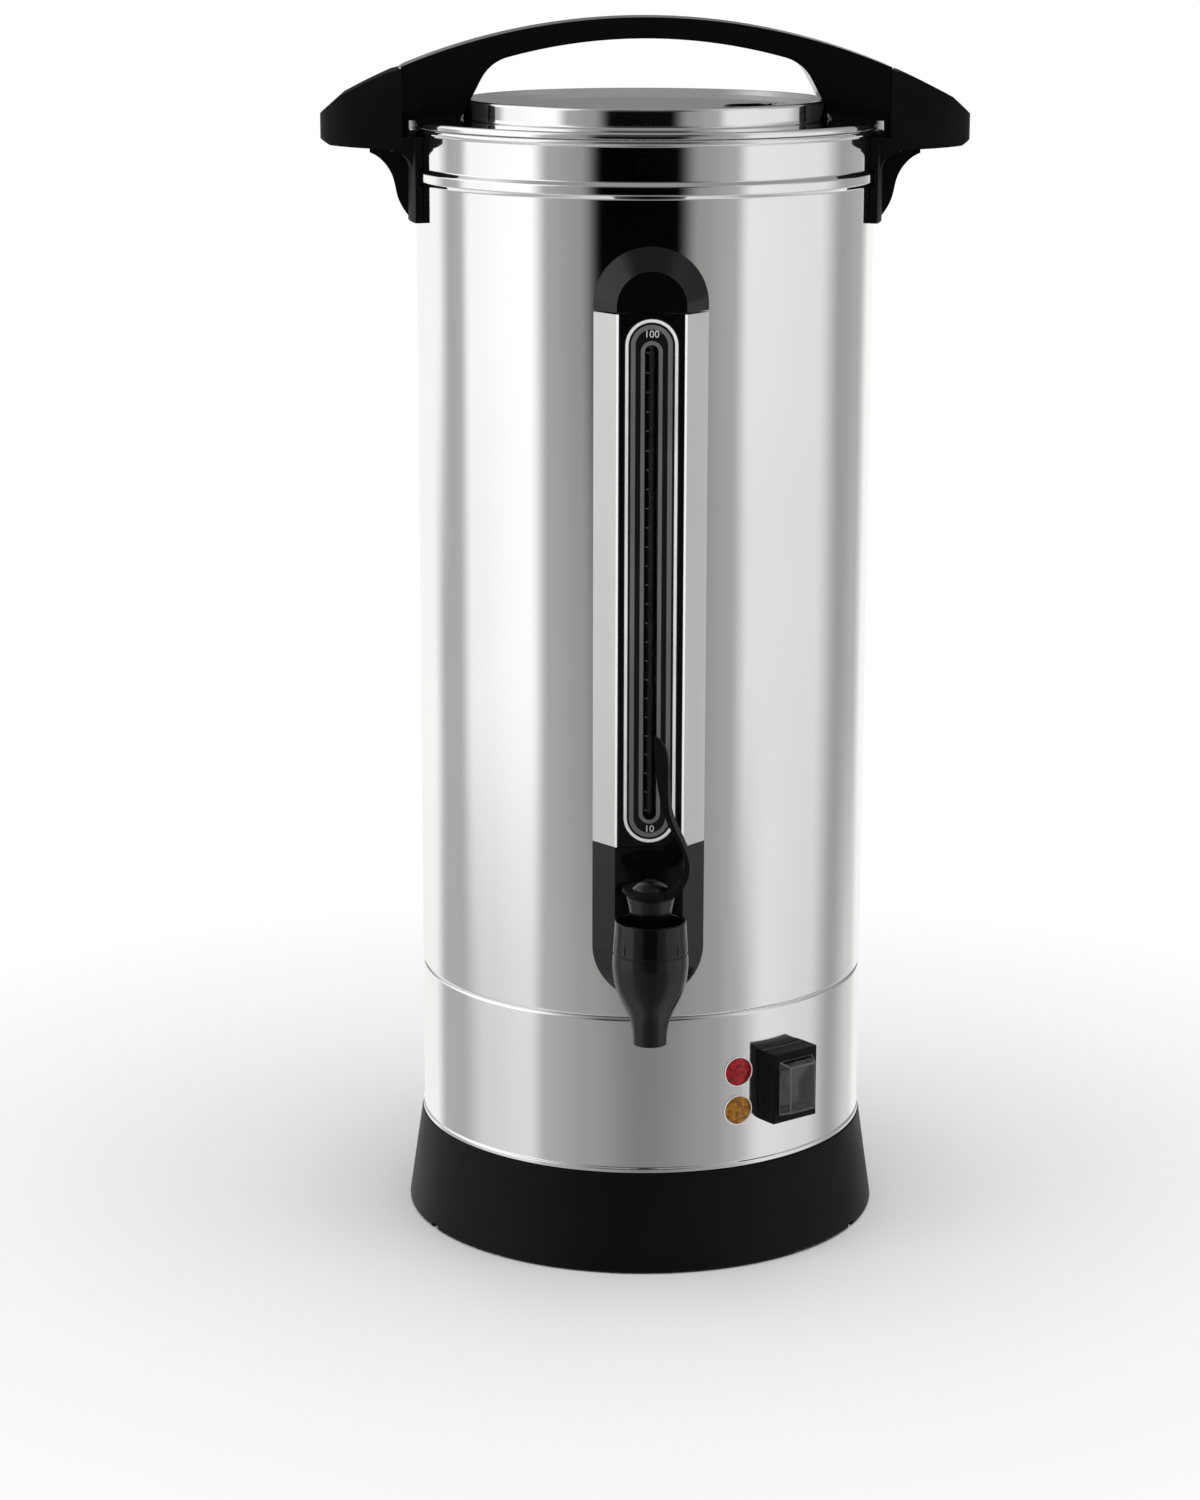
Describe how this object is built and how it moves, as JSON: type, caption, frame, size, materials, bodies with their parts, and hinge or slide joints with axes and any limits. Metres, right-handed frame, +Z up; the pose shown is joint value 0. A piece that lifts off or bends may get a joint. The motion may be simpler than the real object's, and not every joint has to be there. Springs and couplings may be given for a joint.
{
  "type": "coffee urn",
  "caption": "Electric coffee urn with a steel tank, a lid with an arched handle, a level gauge column and a lever tap.",
  "frame": {"origin": "on the floor plane, on the tank's axis, in the base's flat lower rim", "axes": "+Z up along the tank's axis; the tap and the level gauge face -Y; +X is the side of the switch and lamps"},
  "size_m": [0.311, 0.2816, 0.592],
  "materials": {
    "polished_steel": "polished, near mirror",
    "satin_steel": "satin",
    "steel_hardware": "plain zinc-plated or stainless",
    "bright_trim": "bright plated",
    "black_matte": "fine matte",
    "black_gloss": "glossy",
    "scale_black": "satin, with grey ring lines",
    "clear_glass": "clear",
    "clear_cover": "clear, glossy",
    "lens_red": "translucent red",
    "lens_amber": "translucent amber",
    "rubber_black": "matte",
    "silicone": "translucent white",
    "aluminium": "plain, drawn",
    "element_sheath": "dark, heat-blued",
    "mica": "matte",
    "control_body": "satin",
    "brass": "plain",
    "nylon": "plain",
    "lead_insulation": "matte"
  },
  "bodies": {
    "urn": {"tank": "polished_steel", "skirt": "polished_steel", "foot_base": "black_matte", "bottom_plate": "satin_steel", "rubber_feet": "rubber_black", "case_screws": "steel_hardware", "base_studs": "steel_hardware", "stud_nuts": "steel_hardware", "heater_plate": "aluminium", "heating_element": "element_sheath", "heater_clamp": "steel_hardware", "keep_warm_heater": "mica", "thermostats": "control_body", "thermal_fuse": "control_body", "wiring": "lead_insulation", "power_inlet": "black_matte", "inlet_pins": "brass", "lamp_red_lens": "lens_red", "lamp_amber_lens": "lens_amber", "lamp_bezels": "bright_trim", "lamp_bodies": "nylon", "lamp_nuts": "nylon", "switch_housing": "black_gloss", "switch_case": "black_matte", "switch_terminals": "brass", "switch_cover": "clear_cover", "side_bracket_right": "black_gloss", "side_bracket_left": "black_gloss", "tank_screws": "steel_hardware", "gauge_cover": "satin_steel", "gauge_cap": "black_gloss", "gauge_block": "black_gloss", "gauge_panel": "black_gloss", "gauge_bezel": "bright_trim", "gauge_scale_plate": "scale_black", "gauge_tube": "clear_glass", "gauge_seals": "silicone", "tap_body": "black_gloss", "tap_collar": "black_gloss", "tap_bonnet": "black_gloss", "tap_washers": "silicone", "tap_nut": "nylon"},
    "lid_ring": {"lid_seal": "silicone"},
    "lid": {"lid": "polished_steel", "lid_handle": "black_gloss", "handle_caps": "black_gloss", "lid_screws": "steel_hardware", "lid_vent": "black_gloss"},
    "brewer": {"pump_tube": "aluminium", "coffee_basket": "aluminium", "basket_floor": "aluminium", "basket_sleeve": "aluminium", "basket_cover": "aluminium"},
    "swivel": {"lever_washer": "black_matte"},
    "lever": {"tap_lever": "black_gloss", "tap_button": "black_gloss"},
    "valve": {"tap_stem": "steel_hardware", "tap_seat": "silicone", "tap_spring": "steel_hardware"},
    "rocker": {"switch_rocker": "black_gloss"}
  },
  "joints": [
    {"name": "lid_turn", "type": "hinge", "parent": "urn", "child": "lid_ring", "pos_m": [0, 0, 0.5411], "axis": [0, 0, 1], "range_deg": [0, 30]},
    {"name": "lid_lift", "type": "slide", "parent": "lid_ring", "child": "lid", "axis": [0, 0, 1], "range_m": [0, 0.12]},
    {"name": "basket_lift", "type": "slide", "parent": "urn", "child": "brewer", "axis": [0, 0, 1], "range_m": [0, 0.025]},
    {"name": "lever_swivel", "type": "hinge", "parent": "urn", "child": "swivel", "pos_m": [0, -0.146, 0.198], "axis": [0, 0, 1], "range_deg": [-172, 8]},
    {"name": "lever_tilt", "type": "hinge", "parent": "swivel", "child": "lever", "pos_m": [0.01119, -0.14757, 0.1995], "axis": [0.1392, 0.9903, 0], "range_deg": [0, 25]},
    {"name": "valve_lift", "type": "slide", "parent": "urn", "child": "valve", "axis": [0, 0, 1], "range_m": [0, 0.0056], "deforming": ["tap_spring"]},
    {"name": "rocker_tilt", "type": "hinge", "parent": "urn", "child": "rocker", "pos_m": [0.06706, -0.09095, 0.0893], "axis": [-0.8049, -0.5934, 0], "range_deg": [0, 24]}
  ],
  "couplings": [
    {"joint": "valve_lift", "follows": "lever_tilt", "m_per_rad": 0.0128}
  ]
}
